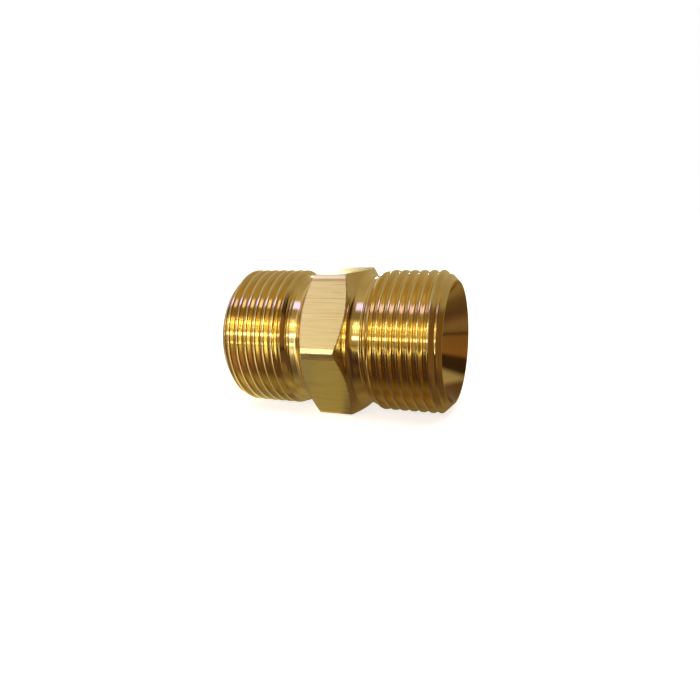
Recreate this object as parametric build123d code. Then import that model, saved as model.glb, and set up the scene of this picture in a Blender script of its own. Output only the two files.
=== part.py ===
from build123d import *
import math
import os

# Double-ended male hex nipple, turned from one length of hexagonal brass bar.
# It lies along X with its middle at the origin, and two hex flats are level, top and bottom.
# Lengths are in millimetres and angles in degrees. Profiles are drawn as (along X, radius).

# Bar and overall length
LENGTH = 35.3
ACROSS_FLATS = 21.9

# Male thread at each end, M22 x 1.5 right hand
PITCH = 1.5
MAJOR_RADIUS = 10.925
CREST_WIDTH = 0.27
ROOT_RADIUS = 0.21
FLANK_HALF_ANGLE = 30.0
END_CHAMFER = 1.5
TURNS_CUT = 9
# Places along X where each helical groove starts and ends, both on the +Y side and in the air over a neck
RIGHT_GROOVE_START = 5.55
LEFT_GROOVE_END = -5.17

# Hexagon between the threads
CORNER_LENGTH = 5.0
HEX_CHAMFER_ANGLE = 30.0

# Relief neck between the hexagon and each thread
NECK_RADIUS = 10.05
NECK_END = 5.7
NECK_CONE_ANGLE = 30.0
NECK_FILLET = 1.0

# Waterway: a 60 degree sealing cone at each mouth, joined by a plain bore
MOUTH_RADIUS = 9.2
SEAT_HALF_ANGLE = 30.0
BORE_RADIUS = 6.0

HALF_LENGTH = LENGTH / 2
BAR_CORNER_RADIUS = ACROSS_FLATS / math.sqrt(3)
# The turned envelope stands this far outside the thread crests, which the rod gives
CREST_CLEARANCE = 0.5


def tangent(angle):
    """The tangent of an angle in degrees."""
    return math.tan(math.radians(angle))


def thread_groove(start):
    """The helical V that one thread is cut with, from start towards +X. The V lies in a plane through the axis."""
    slope = tangent(FLANK_HALF_ANGLE)
    half_width = (PITCH - CREST_WIDTH) / 2
    sharp_radius = MAJOR_RADIUS - half_width / slope
    overshoot = 0.15
    top = MAJOR_RADIUS + overshoot
    top_half_width = half_width + overshoot * slope
    vee = make_face(
        Polyline(
            (sharp_radius, 0),
            (top, top_half_width),
            (top, -top_half_width),
            close=True,
        )
    )
    root = vee.vertices().sort_by(Axis.X)[0]
    section = Plane.XZ * fillet(root, ROOT_RADIUS)
    path = Helix(PITCH, PITCH * TURNS_CUT, sharp_radius + ROOT_RADIUS)
    groove = sweep(section, path, is_frenet=True)
    return Pos(X=start) * (Plane.YZ * groove)


def threaded_rod():
    """A rod at the major diameter, longer than the nipple, with a thread cut from each neck out past its end."""
    rod = Plane.YZ * Cylinder(MAJOR_RADIUS, LENGTH + 2 * PITCH)
    right_groove = thread_groove(RIGHT_GROOVE_START)
    left_groove = thread_groove(LEFT_GROOVE_END - PITCH * TURNS_CUT)
    return rod - right_groove - left_groove


def hex_middle():
    """The stretch of hexagonal bar that is left between the threads, with a flat on top."""
    section = Plane.YZ * RegularPolygon(BAR_CORNER_RADIUS, 6)
    return extrude(section, amount=(CORNER_LENGTH + NECK_END) / 2, both=True)


def turned_envelope():
    """What the lathe leaves: necks, hexagon chamfers, end chamfers, sealing cones and bore."""
    clear_radius = MAJOR_RADIUS + CREST_CLEARANCE
    hex_end = CORNER_LENGTH / 2 + (BAR_CORNER_RADIUS - NECK_RADIUS) * tangent(HEX_CHAMFER_ANGLE)
    neck_cone_end = NECK_END + (clear_radius - NECK_RADIUS) / tangent(NECK_CONE_ANGLE)
    end_face_radius = MAJOR_RADIUS - END_CHAMFER
    chamfer_start = HALF_LENGTH - (clear_radius - end_face_radius)
    seat_depth = (MOUTH_RADIUS - BORE_RADIUS) / tangent(SEAT_HALF_ANGLE)
    half = [
        (CORNER_LENGTH / 2, BAR_CORNER_RADIUS),
        (hex_end, NECK_RADIUS),
        (NECK_END, NECK_RADIUS),
        (neck_cone_end, clear_radius),
        (chamfer_start, clear_radius),
        (HALF_LENGTH, end_face_radius),
        (HALF_LENGTH, MOUTH_RADIUS),
        (HALF_LENGTH - seat_depth, BORE_RADIUS),
    ]
    mirrored = [(-x, radius) for x, radius in reversed(half)]
    profile = make_face(Polyline(*half, *mirrored, close=True))
    neck_corners = [v for v in profile.vertices() if abs(abs(v.X) - hex_end) < 0.001]
    return revolve(fillet(neck_corners, NECK_FILLET), Axis.X)


def nipple():
    """The whole nipple in one piece, as it comes off the lathe."""
    return (threaded_rod() + hex_middle()) & turned_envelope()


os.makedirs("parts", exist_ok=True)
export_step(nipple(), "parts/nipple_body.step")
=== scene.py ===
import math

import bpy
import numpy as np
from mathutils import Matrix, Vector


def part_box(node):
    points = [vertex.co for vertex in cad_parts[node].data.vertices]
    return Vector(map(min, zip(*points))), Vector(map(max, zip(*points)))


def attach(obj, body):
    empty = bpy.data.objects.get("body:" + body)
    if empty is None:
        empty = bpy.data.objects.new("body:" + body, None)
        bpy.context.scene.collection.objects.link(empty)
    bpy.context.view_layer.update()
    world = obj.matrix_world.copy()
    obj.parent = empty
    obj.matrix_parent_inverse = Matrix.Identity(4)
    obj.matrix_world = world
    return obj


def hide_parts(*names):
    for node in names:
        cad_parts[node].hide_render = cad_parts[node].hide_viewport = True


# A polished brass hex nipple on a pale floor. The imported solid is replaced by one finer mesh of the
# same shape, with its edges broken, and covered with turned, threaded and drawn brass.

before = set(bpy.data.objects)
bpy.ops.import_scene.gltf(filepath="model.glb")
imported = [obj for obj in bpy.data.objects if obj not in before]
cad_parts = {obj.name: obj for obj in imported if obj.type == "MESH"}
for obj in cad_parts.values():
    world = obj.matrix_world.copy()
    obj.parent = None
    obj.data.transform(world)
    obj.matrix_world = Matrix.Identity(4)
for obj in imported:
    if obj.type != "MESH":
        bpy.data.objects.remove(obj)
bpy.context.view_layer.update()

# ---------------------------------------------------------------- sizes

# The nipple lies along X with its middle at the origin. Its sizes are in millimetres.
MM = 0.001
HALF_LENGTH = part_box("nipple_body")[1].x / MM
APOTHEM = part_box("nipple_body")[1].z / MM
CORNER_RADIUS = APOTHEM / math.cos(math.radians(30))
CORNER_HALF_LENGTH = 2.5
MAJOR_RADIUS = 10.925
PITCH = 1.5
CREST_WIDTH = 0.27
ROOT_RADIUS = 0.21
END_CHAMFER = 1.5
NECK_RADIUS = 10.05
NECK_END = 5.7
NECK_FILLET = 1.0
MOUTH_RADIUS = 9.2
BORE_RADIUS = 6.0
# Where the root of each thread crosses the +Y side, over a neck
RIGHT_ROOT = 5.55
LEFT_ROOT = -5.17
# Where the thread's rows give way to the end's rings, on the end chamfer
THREAD_END = 17.01
# Thread flanks, hexagon chamfers, neck cones and sealing cones all have this slope
TAN30 = math.tan(math.radians(30))

# Radius of each broken edge
CREST_BREAK = 0.07
RIM_BREAK = 0.05
HEX_BREAK = 0.12
SEAT_BREAK = 0.3
# How far the corner between two surfaces is rounded: thread and cone, flat and its rolled edge, two flats
CONE_BLEND = 0.05
ROLL_BLEND = 0.012
CORNER_BLEND = 0.1
# Each hex flat falls away by this angle over this width beside its corners, as drawn bar does
ROLL_WIDTH = 0.75
ROLL_ANGLE = math.radians(9)
# A darker line runs along each flat between these angles past one of its corners, in degrees
DARK_LINE = (3.2, 4.6)
# The mesh carries a mask of wear and painted sheen: 1 on broken and rolled edges, and these on the darker
# lines and beside the rims
DARK_LINE_MARK = 0.5
RIM_WEAR = 0.2

# Columns of the mesh in degrees past each corner of the hexagon, up to the middle of a flat
CORNER_COLUMNS = [0, 0.3, 0.6, 1.2, 2.2, 3.05, 3.4, 4.4]
FLAT_COLUMNS = list(np.linspace(6.1, 30, 12))
# Rows of the mesh, as fractions of each stretch
FLANK_ROWS = (0.25, 0.5, 0.75)
FLAT_ROWS = (0.3, 0.6, 0.85, 0.96)
CHAMFER_ROWS = (0.08, 0.35, 0.65, 0.92)
NECK_ROWS = (0.15, 0.5, 0.85, 1.0)
SEAT_ROWS = (0, 0.03, 0.12, 0.24, 0.36, 0.48, 0.6, 0.72, 0.84, 0.95)
BORE_ROWS = (0.97, 0.85, 0.65, 0.4, 0.2)
# Rows of the end chamfer and the seat beside the rim, by distance from the end face
END_CHAMFER_ROW = 0.35
END_EDGE_ROW = 0.12
SEAT_EDGE_ROW = 0.06

# Material slots of the mesh
TURNED, THREAD, DRAWN, INSIDE = range(4)


# ---------------------------------------------------------------- outlines, as points of (x, radius)

def between(start, end, fractions):
    """Points on the straight line from start to end."""
    return [(start[0] + f * (end[0] - start[0]), start[1] + f * (end[1] - start[1])) for f in fractions]


def bend(radius, degrees):
    """How far along, and how far aside, an arc goes while it turns by an angle."""
    turn = math.radians(degrees)
    return radius * math.sin(turn), radius * (1 - math.cos(turn))


def arc(x, r, radius, start, stop, steps):
    """Points of an arc about (x, r). Angles are in degrees, from straight out towards +X."""
    turns = np.radians(np.linspace(start, stop, steps))
    return [(x + radius * math.sin(t), r + radius * math.cos(t)) for t in turns]


def with_wear_and_sheen(points, wear):
    """Rows of (x, radius, wear), where wear is 0 to 1."""
    return [(x, r, wear) for x, r in points]


def mirrored(rows):
    return [(-x, r, wear) for x, r, wear in reversed(rows)]


def soft_min(a, b, blend):
    """The smaller of two radii, with the corner between them rounded."""
    h = np.clip(0.5 + 0.5 * (b - a) / blend, 0, 1)
    return b + (a - b) * h - blend * h * (1 - h)


def column_angles():
    """Angles round X from +Y towards +Z, crowded at the hexagon's corners."""
    half = CORNER_COLUMNS + FLAT_COLUMNS
    sector = half + [60 - a for a in reversed(half[1:-1])]
    return np.radians([60 * s + a for s in range(6) for a in sector])


def thread_profile():
    """One pitch of thread, starting in the middle of the root."""
    sharp_radius = MAJOR_RADIUS - (PITCH - CREST_WIDTH) / 2 / TAN30
    root = []
    for degrees in (0, 30, 60):
        along, rise = bend(ROOT_RADIUS, degrees)
        root.append((along, sharp_radius + ROOT_RADIUS + rise))
    crest_start = (PITCH - CREST_WIDTH) / 2 + CREST_BREAK * TAN30
    crest = []
    for degrees in (60, 40, 20, 0):
        along, drop = bend(CREST_BREAK, degrees)
        crest.append((crest_start - along, MAJOR_RADIUS - drop))
    half = root + between(root[-1], crest[0], FLANK_ROWS) + crest
    other_half = [(PITCH - x, r) for x, r in reversed(half[1:])]
    return half + [(PITCH / 2, MAJOR_RADIUS)] + other_half


def from_middle_of_flat(angles):
    """Angle from the middle of the nearest flat."""
    return np.abs(np.mod(angles, math.radians(60)) - math.radians(30))


def hexagon_radius(angles):
    """Radius of the hexagon at each angle, with rolled edges beside slightly rounded corners."""
    from_middle = from_middle_of_flat(angles)
    flat = APOTHEM / np.cos(from_middle)
    roll_start = CORNER_RADIUS / 2 - ROLL_WIDTH
    rolled_apothem = APOTHEM * math.cos(ROLL_ANGLE) + roll_start * math.sin(ROLL_ANGLE)
    rolled = rolled_apothem / np.cos(from_middle - ROLL_ANGLE)
    next_rolled = rolled_apothem / np.cos(math.radians(60) - from_middle - ROLL_ANGLE)
    return soft_min(soft_min(flat, rolled, ROLL_BLEND), next_rolled, CORNER_BLEND)


def hexagon_wear_and_sheen(angles):
    """The wear and painted sheen of the hexagon's flats, with their rolled edges and darker lines."""
    margin = 0.01
    rolled = APOTHEM * np.tan(from_middle_of_flat(angles)) > CORNER_RADIUS / 2 - ROLL_WIDTH - margin
    past_corner = np.degrees(np.mod(angles, math.radians(60)))
    darker_line = (past_corner > DARK_LINE[0]) & (past_corner < DARK_LINE[1])
    return np.where(darker_line, DARK_LINE_MARK, rolled.astype(float))


def right_hexagon_rows(angles):
    """Rows from the middle of the hexagon to the right neck: the flat with its edge, then the rest."""
    radius = hexagon_radius(angles)
    flat_x = CORNER_HALF_LENGTH + (CORNER_RADIUS - radius) * TAN30 - HEX_BREAK * TAN30
    flat = [(flat_x * f, radius) for f in FLAT_ROWS]
    edge = []
    for degrees in (0, 15, 30, 45, 60):
        along, drop = bend(HEX_BREAK, degrees)
        edge.append((flat_x + along, radius - drop))
    fillet_x = CORNER_HALF_LENGTH + (CORNER_RADIUS - NECK_RADIUS) * TAN30 + NECK_FILLET * TAN30
    fillet = []
    for degrees in (60, 50, 40, 30, 20, 10, 0):
        along, rise = bend(NECK_FILLET, degrees)
        fillet.append((fillet_x - along, NECK_RADIUS + rise))
    chamfer = between(edge[-1], fillet[0], CHAMFER_ROWS)
    neck = between((fillet_x, NECK_RADIUS), (NECK_END, NECK_RADIUS), NECK_ROWS)
    return with_wear_and_sheen(flat, hexagon_wear_and_sheen(angles)) + with_wear_and_sheen(edge, 1.0), with_wear_and_sheen(chamfer + fillet + neck, 0.0)


def right_cone(x):
    """The radius that the right neck cone and end chamfer leave."""
    return np.minimum(NECK_RADIUS + (x - NECK_END) * TAN30, MAJOR_RADIUS - END_CHAMFER + HALF_LENGTH - x)


def left_cone(x):
    return right_cone(-x)


def on_end_chamfer(back):
    """The point of the end chamfer at a distance back from the end face."""
    return HALF_LENGTH - back, MAJOR_RADIUS - END_CHAMFER + back


def right_rim_rows():
    """Rows from the end chamfer round the rim to the mouth's edge."""
    tangent = RIM_BREAK * math.tan(math.radians(22.5))
    rim_x = HALF_LENGTH - RIM_BREAK
    outer = arc(rim_x, MAJOR_RADIUS - END_CHAMFER - tangent, RIM_BREAK, 45, 90, 4)
    inner = arc(rim_x, MOUTH_RADIUS + RIM_BREAK * TAN30, RIM_BREAK, 90, 150, 5)
    chamfer = [on_end_chamfer(END_CHAMFER_ROW)]
    chamfer_edge = [on_end_chamfer(END_EDGE_ROW)]
    return with_wear_and_sheen(chamfer, 0.0) + with_wear_and_sheen(chamfer_edge, RIM_WEAR) + with_wear_and_sheen(outer + inner, 1.0)


def right_inside_rows():
    """Rows from the mouth down the sealing cone, nearly to the middle of the bore."""
    seat_end = HALF_LENGTH - (MOUTH_RADIUS - BORE_RADIUS) / TAN30
    tangent = SEAT_BREAK * math.tan(math.radians(15))
    corner = arc(seat_end - tangent, BORE_RADIUS + SEAT_BREAK, SEAT_BREAK, 150, 180, 4)
    seat_start = (HALF_LENGTH - SEAT_EDGE_ROW, MOUTH_RADIUS - SEAT_EDGE_ROW * TAN30)
    seat = between(seat_start, corner[0], SEAT_ROWS)
    bore = [(corner[-1][0] * f, BORE_RADIUS) for f in BORE_ROWS]
    return with_wear_and_sheen(seat + corner + bore, 0.0)


# ---------------------------------------------------------------- the mesh

class Skin:
    """Collects rings and bands of a surface that goes round X."""

    def __init__(self, angles):
        self.angles = angles
        self.count = len(angles)
        self.points = []
        self.wear = []
        self.faces = []
        self.slots = []
        self.size = 0

    def add(self, x, r, angle, wear):
        """Adds points and gives back their numbers."""
        self.points.append(np.stack([x, r * np.cos(angle), r * np.sin(angle)], 1))
        self.wear.append(wear)
        ids = self.size + np.arange(len(x))
        self.size += len(x)
        return ids

    def ring(self, x, r, wear=0.0):
        """A closed ring. x, r and wear are numbers, or arrays with a value per column."""
        x, r, wear = (np.broadcast_to(np.asarray(value, float), self.count) for value in (x, r, wear))
        return self.add(x, r, self.angles, wear)

    def band(self, low, high, slot):
        """Quads between two rings, where high comes after low on the way round the outside towards +X."""
        a, b = np.roll(low, -1), np.roll(high, -1)
        self.faces += np.stack([low, high, b, a], 1)[:, ::-1].tolist()
        self.slots += [slot] * self.count

    def rings(self, rows, slot, previous):
        """A ring for each row of (x, r, wear), each joined to the one before it."""
        for row in rows:
            ring = self.ring(*row)
            self.band(previous, ring, slot)
            previous = ring
        return previous

    def thread(self, low_ring, low_x, high_ring, high_x, start, cone):
        """Helical rows between two rings. start is where the root crosses the +Y side."""
        profile = thread_profile()
        steps = len(profile)
        along = np.array([p[0] for p in profile])
        radius = np.array([p[1] for p in profile])
        height = (radius - radius.min()) / (radius.max() - radius.min())
        first = start - PITCH * math.ceil((start - low_x) / PITCH + 2)
        turns = math.ceil((high_x - first) / PITCH) + 2
        row = np.arange(turns * steps)
        row_x = first + PITCH * (row // steps) + along[row % steps]
        x = row_x[None, :] + PITCH * (self.angles / (2 * math.pi))[:, None]
        r = soft_min(np.broadcast_to(radius[row % steps], x.shape), cone(x), CONE_BLEND)
        wear = np.broadcast_to(height[row % steps], x.shape)
        angle = np.broadcast_to(self.angles[:, None], x.shape)
        # Points past a ring, or this near to it, are merged with it
        margin = 0.02
        low, high = x <= low_x + margin, x >= high_x - margin
        free = ~(low | high)
        ids = np.empty(x.shape, int)
        ids[low] = np.broadcast_to(low_ring[:, None], x.shape)[low]
        ids[high] = np.broadcast_to(high_ring[:, None], x.shape)[high]
        ids[free] = self.add(x[free], r[free], angle[free], wear[free])
        # After one full turn a row has moved along by one pitch
        past = np.concatenate([ids[0, steps:], np.full(steps, high_ring[0])])
        after = np.vstack([ids[1:], past[None, :]])
        for here, there in zip(ids, after):
            quads = np.stack([here[:-1], here[1:], there[1:], there[:-1]], 1)[:, ::-1]
            for quad in quads.tolist():
                face = [v for i, v in enumerate(quad) if v != quad[i - 1]]
                if len(face) > 2:
                    self.faces.append(face)
                    self.slots.append(THREAD)

    def build(self, name):
        """The finished object."""
        mesh = bpy.data.meshes.new(name)
        points = np.concatenate(self.points) * MM
        mesh.from_pydata(points.tolist(), [], self.faces)
        mesh.polygons.foreach_set("material_index", self.slots)
        mesh.polygons.foreach_set("use_smooth", [True] * len(self.faces))
        wear = mesh.attributes.new("wear", "FLOAT", "POINT")
        wear.data.foreach_set("value", np.concatenate(self.wear))
        mesh.validate()
        mesh.update()
        piece = bpy.data.objects.new(name, mesh)
        bpy.context.scene.collection.objects.link(piece)
        return piece


def build_nipple():
    """The whole closed skin, from the middle of the hexagon to the right, through the bore and back."""
    skin = Skin(column_angles())
    flat, neck = right_hexagon_rows(skin.angles)
    rim = right_rim_rows()
    inside = right_inside_rows()
    end_x, end_radius = on_end_chamfer(HALF_LENGTH - THREAD_END)

    middle = skin.ring(0.0, hexagon_radius(skin.angles), hexagon_wear_and_sheen(skin.angles))
    right_neck = skin.rings(neck, TURNED, skin.rings(flat, DRAWN, middle))
    right_end = skin.ring(end_x, end_radius)
    skin.thread(right_neck, NECK_END, right_end, THREAD_END, RIGHT_ROOT, right_cone)
    right_inside = skin.rings(inside, INSIDE, skin.rings(rim, TURNED, right_end))
    bore_middle = skin.ring(0.0, BORE_RADIUS)
    skin.band(right_inside, bore_middle, INSIDE)

    left_end = skin.ring(-end_x, end_radius)
    left_mouth = skin.rings(mirrored(inside), INSIDE, bore_middle)
    skin.band(skin.rings(mirrored(rim), TURNED, left_mouth), left_end, TURNED)
    neck_end, *neck_rest = mirrored(neck)
    left_neck = skin.ring(*neck_end)
    skin.thread(left_end, -THREAD_END, left_neck, -NECK_END, LEFT_ROOT, left_cone)
    left_hexagon = skin.rings(neck_rest, TURNED, left_neck)
    skin.band(skin.rings(mirrored(flat), DRAWN, left_hexagon), middle, DRAWN)
    return skin.build("nipple")


nipple = build_nipple()
even = nipple.modifiers.new("even_normals", "WEIGHTED_NORMAL")
even.mode = "FACE_AREA"
even.weight = 50


# ---------------------------------------------------------------- node helpers

class Graph:
    """Short ways to add nodes to a node tree."""

    def __init__(self, tree):
        self.tree = tree
        tree.nodes.clear()

    def node(self, kind, inputs=None, **settings):
        made = self.tree.nodes.new(kind)
        for key, value in settings.items():
            setattr(made, key, value)
        for key, value in (inputs or {}).items():
            self.put(made.inputs[key], value)
        return made

    def put(self, socket, value):
        """Links a socket to a value that is itself a socket, or else sets it."""
        if isinstance(value, bpy.types.NodeSocket):
            self.tree.links.new(value, socket)
        elif isinstance(value, tuple) and socket.type == "RGBA" and len(value) == 3:
            socket.default_value = value + (1.0,)
        else:
            socket.default_value = value

    def math(self, operation, a, b=0.0, clamp=False):
        made = self.node("ShaderNodeMath", operation=operation, use_clamp=clamp)
        for socket, value in zip(made.inputs, (a, b)):
            self.put(socket, value)
        return made.outputs[0]

    def product(self, a, b):
        return self.math("MULTIPLY", a, b)

    def smooth(self, value, low, high, bottom=0.0, top=1.0):
        """A soft step of value, from bottom at low to top at high."""
        made = self.node("ShaderNodeMapRange", interpolation_type="SMOOTHSTEP", clamp=True)
        for socket, item in zip(made.inputs, (value, low, high, bottom, top)):
            self.put(socket, item)
        return made.outputs[0]

    def mix(self, factor, a, b, blend="MIX"):
        made = self.node("ShaderNodeMix", data_type="RGBA", blend_type=blend)
        self.put(made.inputs[0], factor)
        self.put(made.inputs[6], a)
        self.put(made.inputs[7], b)
        return made.outputs[2]

    def vector(self, x, y, z):
        return self.node("ShaderNodeCombineXYZ", {0: x, 1: y, 2: z}).outputs[0]

    def noise(self, vector, scale, detail, roughness):
        inputs = {"Vector": vector, "Scale": scale, "Detail": detail, "Roughness": roughness}
        return self.node("ShaderNodeTexNoise", inputs, noise_dimensions="3D").outputs[0]

    def ramp(self, value, stops):
        """A colour by value, from (place, colour) stops with places from 0 to 1."""
        made = self.node("ShaderNodeValToRGB", {0: value})
        elements = made.color_ramp.elements
        elements[0].position, elements[0].color = stops[0][0], stops[0][1] + (1.0,)
        elements[1].position, elements[1].color = stops[-1][0], stops[-1][1] + (1.0,)
        for place, colour in stops[1:-1]:
            elements.new(place).color = colour + (1.0,)
        return made.outputs[0]


# ---------------------------------------------------------------- brass

BRASS = (0.92, 0.74, 0.36)
BRASS_DEEP = (0.88, 0.68, 0.29)
BRASS_PALE = (0.96, 0.82, 0.50)
BRASS_DRAWN = (1.0, 0.93, 0.54)
TARNISH = (0.45, 0.28, 0.10)
INSIDE_PAINTED_SHADE = (0.27, 0.15, 0.06)

# Noise scales per millimetre. Tool lines have their own, and vary in bands whose scale is a share of it.
CLOUD_SCALE = 0.22
SPECK_SCALE = 2.6
BAND_SHARE = 0.22
# Drawn lines change this much more slowly along X than across it
DRAWN_STRETCH = 0.02
# Turned lines creep this far along X each turn, and change as if a turn were this long, in millimetres
LEAD = -0.12
TURN_LENGTH = 0.6

# Where in its noise, which runs from 0 to 1, each effect sets in and is full, and how strong it is
CLOUDS = (0.35, 0.68)
PALE_LINES = (0.45, 0.75)
PALE_LINE_STRENGTH = 0.35
DEEP_STREAKS = (0.54, 0.40)
DEEP_STREAK_STRENGTH = 0.7
TARNISHED_STREAKS = (0.42, 0.30)
TARNISHED_STREAK_STRENGTH = 0.45
# Streaks are full in the low bands and thin out to a share in the high ones
STREAK_BANDS = (0.36, 0.58)
SPARSE_STREAKS = 0.45
SPECKS = (0.62, 0.8)
SPECK_STRENGTH = 0.35
ROUGH_SPECKS = (0.6, 0.8)
SPECK_ROUGHNESS = 0.12
# How much of its own value the roughness gains from the low to the high bands
BAND_ROUGHNESS = 0.8
# The same for the wear and sheen that the mesh carries, which is 1 on worn edges and thread crests and less
# on the darker lines. Worn edges are paler, partly from wear and partly as a painted highlight.
WORN_AND_SHEEN_EDGES = (0.75, 1.0)
WORN_EDGE_AND_SHEEN_STRENGTH = 0.5
POLISHED_EDGES = (0.6, 1.0)
WORN_EDGE_POLISH = 0.17
DARK_LINE_FROM_BELOW = (0.2, 0.5)
DARK_LINE_FROM_ABOVE = (0.9, 0.55)
DARK_LINE_STRENGTH = 0.5
# How much of a flat takes the drawn colour, and the heights between which painted shade darkens the mouths
# towards the bottom
DRAWN_STRENGTH = 0.75
PAINTED_SHADE_HEIGHTS = (-6.9, -7.8)
# The tool lines' share in the surface's height. Their bands have the rest.
LINE_SHARE = 0.6


def tool_line_place(g, x, y, z, drawn):
    """Where the tool lines' noise is read: drawn out along X on flats, and round X elsewhere."""
    if drawn:
        return g.vector(g.product(x, DRAWN_STRETCH), y, z)
    radius = g.math("SQRT", g.math("ADD", g.product(y, y), g.product(z, z)))
    turn = g.math("DIVIDE", g.math("ARCTAN2", z, y), 2 * math.pi)
    return g.vector(g.math("ADD", x, g.product(turn, LEAD)), radius, g.product(turn, TURN_LENGTH))


def streaked(g, colour, line, band, wear):
    """The colour of a drawn flat: darker streaks that crowd in bands, and a darker line beside one of its
    edges.
    """
    colour = g.mix(DRAWN_STRENGTH, colour, BRASS_DRAWN)
    crowded = g.smooth(band, *STREAK_BANDS, 1.0, SPARSE_STREAKS)
    deep = g.product(g.smooth(line, *DEEP_STREAKS), g.product(crowded, DEEP_STREAK_STRENGTH))
    colour = g.mix(deep, colour, BRASS_DEEP)
    tarnished = g.product(g.smooth(line, *TARNISHED_STREAKS), g.product(crowded, TARNISHED_STREAK_STRENGTH))
    colour = g.mix(tarnished, colour, TARNISH)
    darker_line = g.product(g.smooth(wear, *DARK_LINE_FROM_BELOW), g.smooth(wear, *DARK_LINE_FROM_ABOVE))
    return g.mix(g.product(darker_line, DARK_LINE_STRENGTH), colour, TARNISH)


def brass(name, rough, spread, lines, line_height, drawn=False, inside=False):
    """Brass with fine tool lines: round X where it was turned, along X where it was drawn.

    rough is its roughness, spread how much more light spreads across the lines than along them, lines
    the lines' noise scale per millimetre, and line_height their height in millimetres.
    """
    material = bpy.data.materials.new(name)
    material.use_nodes = True
    g = Graph(material.node_tree)
    place = g.node("ShaderNodeSeparateXYZ", {0: g.node("ShaderNodeTexCoord").outputs["Object"]})
    x, y, z = (g.math("DIVIDE", output, MM) for output in place.outputs)
    fine = tool_line_place(g, x, y, z, drawn)
    solid = g.vector(x, y, z)
    line = g.noise(fine, lines, detail=3.0, roughness=0.6)
    band = g.noise(fine, lines * BAND_SHARE, detail=2.0, roughness=0.5)
    cloud = g.noise(solid, CLOUD_SCALE, detail=3.0, roughness=0.6)
    speck = g.noise(solid, SPECK_SCALE, detail=4.0, roughness=0.7)
    wear = g.node("ShaderNodeAttribute", attribute_name="wear").outputs["Fac"]

    colour = g.mix(g.smooth(cloud, *CLOUDS), BRASS, BRASS_DEEP)
    colour = g.mix(g.smooth(line, *PALE_LINES, 0.0, PALE_LINE_STRENGTH), colour, BRASS_PALE)
    if drawn:
        colour = streaked(g, colour, line, band, wear)
    # Paler on worn edges and thread crests: partly wear, partly a painted highlight
    colour = g.mix(g.smooth(wear, *WORN_AND_SHEEN_EDGES, 0.0, WORN_EDGE_AND_SHEEN_STRENGTH), colour, BRASS_PALE)
    colour = g.mix(g.smooth(speck, *SPECKS, 0.0, SPECK_STRENGTH), colour, TARNISH)
    # Painted shade: the inside of each mouth turns darker towards the bottom
    if inside:
        colour = g.mix(g.smooth(z, *PAINTED_SHADE_HEIGHTS), colour, INSIDE_PAINTED_SHADE)

    roughness = g.math("ADD", rough, g.product(g.math("SUBTRACT", band, 0.5), rough * BAND_ROUGHNESS))
    roughness = g.math("ADD", roughness, g.smooth(speck, *ROUGH_SPECKS, 0.0, SPECK_ROUGHNESS), clamp=True)
    if drawn:
        polish = g.smooth(wear, *POLISHED_EDGES, 0.0, WORN_EDGE_POLISH)
        roughness = g.math("SUBTRACT", roughness, polish, clamp=True)

    height = g.math("ADD", g.product(line, LINE_SHARE), g.product(band, 1 - LINE_SHARE))
    bump = g.node("ShaderNodeBump", {"Strength": 1.0, "Distance": line_height * MM, "Height": height})
    # Light spreads most along this direction, which crosses the tool lines
    across = g.vector(1.0, 0.0, 0.0)
    if drawn:
        normal = g.node("ShaderNodeNewGeometry").outputs["Normal"]
        crossed = g.node("ShaderNodeVectorMath", {0: across, 1: normal}, operation="CROSS_PRODUCT")
        across = crossed.outputs[0]
    surface = g.node(
        "ShaderNodeBsdfPrincipled",
        {
            "Base Color": colour,
            "Metallic": 1.0,
            "Roughness": roughness,
            "Anisotropic": spread,
            "Tangent": across,
            "Normal": bump.outputs[0],
        },
    )
    g.node("ShaderNodeOutputMaterial", {"Surface": surface.outputs[0]})
    return material


# In the order of the mesh's slots
for material in (
    brass("brass_turned", rough=0.11, spread=0.2, lines=5.0, line_height=0.005),
    brass("brass_thread", rough=0.10, spread=0.4, lines=6.0, line_height=0.0015),
    brass("brass_drawn", rough=0.42, spread=0.6, lines=8.0, line_height=0.0018, drawn=True),
    brass("brass_inside", rough=0.12, spread=0.4, lines=4.0, line_height=0.004, inside=True),
):
    nipple.data.materials.append(material)

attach(nipple, "root")
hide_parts("nipple_body")


# ---------------------------------------------------------------- what the metal reflects

# Room colours that a reflection meets, by angle round X in degrees: 0 is level in front, 90 is straight
# up, 180 is level behind and negative is below. There is one list for the middle of the room, one
# towards each end, and one for the far left.
MIDDLE_ROOM = [
    (-180, (0.26, 0.18, 0.06)),
    (-110, (0.36, 0.27, 0.11)),
    (-94, (0.25, 0.15, 0.06)),
    (-80, (0.27, 0.20, 0.08)),
    (-58, (0.085, 0.045, 0.026)),
    (-28, (0.085, 0.042, 0.024)),
    (-12, (0.11, 0.065, 0.025)),
    (0, (0.26, 0.18, 0.07)),
    (12, (0.46, 0.34, 0.12)),
    (28, (0.62, 0.48, 0.18)),
    (38, (0.62, 0.50, 0.24)),
    (46, (0.22, 0.15, 0.07)),
    (62, (0.24, 0.17, 0.10)),
    (82, (0.46, 0.36, 0.19)),
    (115, (0.38, 0.30, 0.16)),
    (150, (0.44, 0.35, 0.20)),
    (180, (0.44, 0.36, 0.20)),
]
RIGHT_ROOM = [
    (-180, (0.28, 0.19, 0.08)),
    (-110, (0.17, 0.11, 0.05)),
    (-65, (0.12, 0.07, 0.035)),
    (-40, (0.20, 0.12, 0.06)),
    (-20, (0.17, 0.10, 0.04)),
    (-12, (0.06, 0.03, 0.015)),
    (-4, (0.18, 0.09, 0.03)),
    (42, (0.22, 0.10, 0.025)),
    (52, (0.04, 0.018, 0.008)),
    (84, (0.03, 0.015, 0.007)),
    (98, (0.32, 0.26, 0.14)),
    (145, (0.36, 0.29, 0.17)),
    (180, (0.30, 0.20, 0.08)),
]
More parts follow.
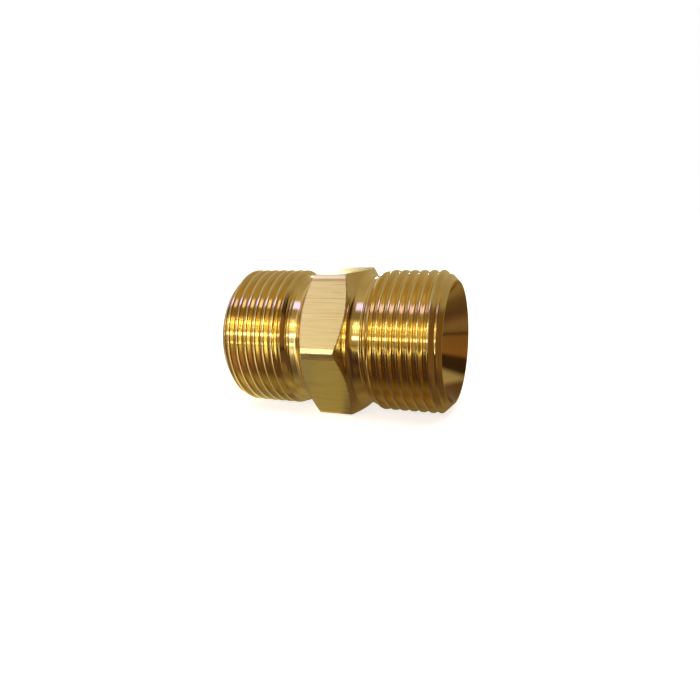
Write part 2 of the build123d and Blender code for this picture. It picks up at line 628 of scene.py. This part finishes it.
LEFT_ROOM = [
    (-180, (0.60, 0.60, 0.55)),
    (-110, (0.26, 0.19, 0.08)),
    (-50, (0.24, 0.18, 0.09)),
    (-25, (0.34, 0.27, 0.14)),
    (-8, (1.50, 1.40, 1.00)),
    (2, (2.10, 2.15, 1.70)),
    (20, (1.25, 1.08, 0.60)),
    (36, (0.85, 0.72, 0.40)),
    (47, (0.95, 0.76, 0.48)),
    (60, (0.56, 0.44, 0.30)),
    (100, (0.62, 0.54, 0.40)),
    (150, (0.56, 0.48, 0.36)),
    (180, (0.80, 0.80, 0.80)),
]
FAR_ROOM = [
    (-180, (0.40, 0.35, 0.30)),
    (-110, (0.22, 0.15, 0.06)),
    (-50, (0.15, 0.09, 0.04)),
    (-25, (0.34, 0.23, 0.10)),
    (-8, (0.15, 0.10, 0.04)),
    (2, (0.20, 0.14, 0.06)),
    (20, (0.74, 0.60, 0.27)),
    (36, (0.76, 0.60, 0.29)),
    (47, (0.38, 0.27, 0.13)),
    (60, (0.32, 0.22, 0.11)),
    (100, (0.56, 0.46, 0.31)),
    (150, (0.56, 0.48, 0.36)),
    (180, (0.60, 0.55, 0.50)),
]
# The room's right-hand end wall
ROOM_END = (0.16, 0.08, 0.025)

# Where one room gives way to the next, by the part of a reflection's direction that is along X
MIDDLE_TO_RIGHT = (0.15, 0.55)
RIGHT_TO_END = (0.80, 0.88)
MIDDLE_TO_LEFT = (-0.456, -0.486)
LEFT_TO_FAR = (-0.515, -0.56)

# Lamps: angle round X, half width and softness in degrees, then where along X the lamp starts, is full
# from, is full to and ends, and its light
LAMPS = [
    (31.5, 1.0, 2.0, (-0.73, -0.55, -0.42, -0.17), (3.7, 2.9, 1.6)),
    (11.5, 1.3, 2.0, (-0.70, -0.50, -0.42, -0.20), (5.2, 4.8, 4.4)),
    (-4.5, 0.8, 1.8, (-0.53, -0.515, -0.45, -0.43), (5.0, 4.8, 3.6)),
    (69.5, 3.5, 7.0, (-0.70, -0.60, -0.38, -0.26), (1.24, 1.12, 3.3)),
    (30.0, 8.0, 4.0, (-0.425, -0.415, -0.395, -0.385), (8.1, 7.4, 4.6)),
    (70.0, 6.0, 6.0, (-0.435, -0.425, -0.385, -0.375), (1.75, 1.70, 0.7)),
    (168.5, 8.0, 8.0, (-0.42, -0.412, -0.395, -0.387), (17.0, 18.0, 18.0)),
]

# How strongly the floor is lit where a reflection meets it, by place along X in millimetres: a bright
# patch in front of the left thread, and the shade of the nipple itself further right
FLOOR_PATCHES = [
    (-60, (1.00, 1.00, 1.00)),
    (-34, (2.40, 2.80, 3.40)),
    (-19, (4.60, 5.60, 7.00)),
    (-14.5, (2.10, 2.50, 3.10)),
    (-11, (1.35, 1.60, 2.00)),
    (-6, (0.90, 0.95, 1.10)),
    (-2, (0.66, 0.60, 0.66)),
    (12, (0.70, 0.66, 0.66)),
    (27, (0.72, 0.64, 0.60)),
    (36, (1.00, 1.00, 1.00)),
]
# A small bright patch in front of the hexagon, mirrored mostly in the flat above it: its light, then
# where it sets in and is full at its left, right and front, in millimetres
NEAR_PATCH = (1.50, 1.60, 1.20)
NEAR_PATCH_LEFT = (-6.0, -4.8)
NEAR_PATCH_RIGHT = (2.0, 0.4)
NEAR_PATCH_FRONT = (-26.0, -14.0)


def as_place(angle):
    """An angle from -180 to 180 degrees as a ramp's 0 to 1."""
    return angle / 360 + 0.5


def lamp_shine(g, angle, x, lamp):
    """How much of a lamp is met in a direction."""
    centre, half, soft, (starts, full_from, full_to, ends), _ = lamp
    off = g.math("ABSOLUTE", g.math("SUBTRACT", angle, centre))
    across = g.smooth(off, half, half + soft, 1.0, 0.0)
    along = g.product(g.smooth(x, starts, full_from), g.smooth(x, full_to, ends, 1.0, 0.0))
    return g.product(across, along)


def room_light(g, direction, strength=None):
    """The light that a ray meets in the room, by its direction. strength scales it, but not its lamps."""
    x, y, z = g.node("ShaderNodeSeparateXYZ", {0: direction}).outputs
    angle = g.product(g.math("ARCTAN2", z, g.product(y, -1.0)), 180 / math.pi)
    place = g.math("ADD", g.math("DIVIDE", angle, 360), 0.5)
    middle, right, left, far = (
        g.ramp(place, [(as_place(a), colour) for a, colour in room])
        for room in (MIDDLE_ROOM, RIGHT_ROOM, LEFT_ROOM, FAR_ROOM)
    )
    light = g.mix(g.smooth(x, *MIDDLE_TO_RIGHT), middle, right)
    light = g.mix(g.smooth(x, *RIGHT_TO_END), light, ROOM_END)
    light = g.mix(g.smooth(x, *MIDDLE_TO_LEFT), light, left)
    light = g.mix(g.smooth(x, *LEFT_TO_FAR), light, far)
    if strength is not None:
        light = g.mix(1.0, light, strength, "MULTIPLY")
    for lamp in LAMPS:
        light = g.mix(lamp_shine(g, angle, x, lamp), light, lamp[-1])
    return light


def floor_strength(g, place):
    """How strongly the floor is lit at a place on it."""
    x, y, _ = g.node("ShaderNodeSeparateXYZ", {0: place}).outputs
    along, back = g.math("DIVIDE", x, MM), g.math("DIVIDE", y, MM)
    first, last = FLOOR_PATCHES[0][0], FLOOR_PATCHES[-1][0]
    spot = g.math("DIVIDE", g.math("SUBTRACT", along, first), last - first, clamp=True)
    patches = g.ramp(spot, [((at - first) / (last - first), colour) for at, colour in FLOOR_PATCHES])
    near = g.product(g.smooth(along, *NEAR_PATCH_LEFT), g.smooth(along, *NEAR_PATCH_RIGHT))
    near = g.product(near, g.smooth(back, *NEAR_PATCH_FRONT))
    return g.mix(near, patches, NEAR_PATCH)


# ---------------------------------------------------------------- studio

WHITE = (1.0, 1.0, 1.0)
FLOOR_PALE = (0.96, 0.96, 0.96)
FLOOR_GREY = (0.93, 0.93, 0.92)
FLOOR_GRAIN = 60.0
FLOOR_GLOW = 0.75
# In metres
FLOOR_SIZE = 4.0
FLOOR_LAMP_SIZE = 1.0
FLOOR_LAMP_HEIGHT = 0.8
FLOOR_LAMP_WATTS = 3.0
CAMERA_PLACE = (0.037922, -0.092654, 0.018766)
# In degrees about X, Y and Z
CAMERA_TURN = (78.278, 1.917, 21.738)
# In millimetres
CAMERA_LENS = 32.335
CAMERA_SENSOR = 36.0


def camera_sees(g, plain, other):
    """A shader that is plain to the camera, and other to every other ray."""
    is_camera = g.node("ShaderNodeLightPath").outputs["Is Camera Ray"]
    return g.node("ShaderNodeMixShader", {0: is_camera, 1: other, 2: plain}).outputs[0]


def studio_world():
    """White to the camera. The metal meets a room with thin lamps along X and a darker ground."""
    world = bpy.data.worlds.new("studio")
    bpy.context.scene.world = world
    world.use_nodes = True
    g = Graph(world.node_tree)
    light = room_light(g, g.node("ShaderNodeTexCoord").outputs["Generated"])
    room = g.node("ShaderNodeBackground", {"Color": light, "Strength": 1.0})
    plain = g.node("ShaderNodeBackground", {"Color": WHITE, "Strength": 1.0})
    g.node("ShaderNodeOutputWorld", {"Surface": camera_sees(g, plain.outputs[0], room.outputs[0])})


def floor_light():
    """A broad soft lamp overhead, for the floor only: the metal takes its light from the room."""
    data = bpy.data.lights.new("floor_light", "AREA")
    data.shape = "SQUARE"
    data.size = FLOOR_LAMP_SIZE
    data.energy = FLOOR_LAMP_WATTS
    lamp = bpy.data.objects.new("floor_light", data)
    lamp.location = (0.0, 0.0, FLOOR_LAMP_HEIGHT)
    lamp.visible_glossy = False
    bpy.context.scene.collection.objects.link(lamp)


def floor_material():
    """Plain and pale to the camera. The metal meets it as part of the room, lit in soft patches."""
    material = bpy.data.materials.new("pale_floor")
    material.use_nodes = True
    g = Graph(material.node_tree)
    place = g.node("ShaderNodeTexCoord").outputs["Object"]
    grain = g.noise(place, FLOOR_GRAIN, detail=4.0, roughness=0.6)
    matt = g.node("ShaderNodeBsdfDiffuse", {"Color": g.mix(grain, FLOOR_GREY, FLOOR_PALE)})
    glow = g.node("ShaderNodeEmission", {"Color": WHITE, "Strength": FLOOR_GLOW})
    plain = g.node("ShaderNodeAddShader", {0: matt.outputs[0], 1: glow.outputs[0]})

    incoming = g.node("ShaderNodeNewGeometry").outputs["Incoming"]
    onward = g.node("ShaderNodeVectorMath", {"Vector": incoming, "Scale": -1.0}, operation="SCALE")
    light = room_light(g, onward.outputs[0], floor_strength(g, place))
    lit = g.node("ShaderNodeEmission", {"Color": light, "Strength": 1.0})
    g.node("ShaderNodeOutputMaterial", {"Surface": camera_sees(g, plain.outputs[0], lit.outputs[0])})
    return material


def pale_floor():
    """A plain pale floor under the nipple."""
    bpy.ops.mesh.primitive_plane_add(size=FLOOR_SIZE, location=(0, 0, -APOTHEM * MM))
    floor = bpy.context.object
    floor.name = "floor"
    floor.data.materials.append(floor_material())


def camera():
    data = bpy.data.cameras.new("camera")
    data.lens = CAMERA_LENS
    data.sensor_width = CAMERA_SENSOR
    data.clip_start = 0.001
    data.clip_end = 20.0
    view = bpy.data.objects.new("camera", data)
    view.location = CAMERA_PLACE
    view.rotation_euler = [math.radians(turn) for turn in CAMERA_TURN]
    bpy.context.scene.collection.objects.link(view)
    bpy.context.scene.camera = view


studio_world()
floor_light()
pale_floor()
camera()
bpy.context.scene.view_settings.view_transform = "Standard"
bpy.context.scene.view_settings.look = "None"
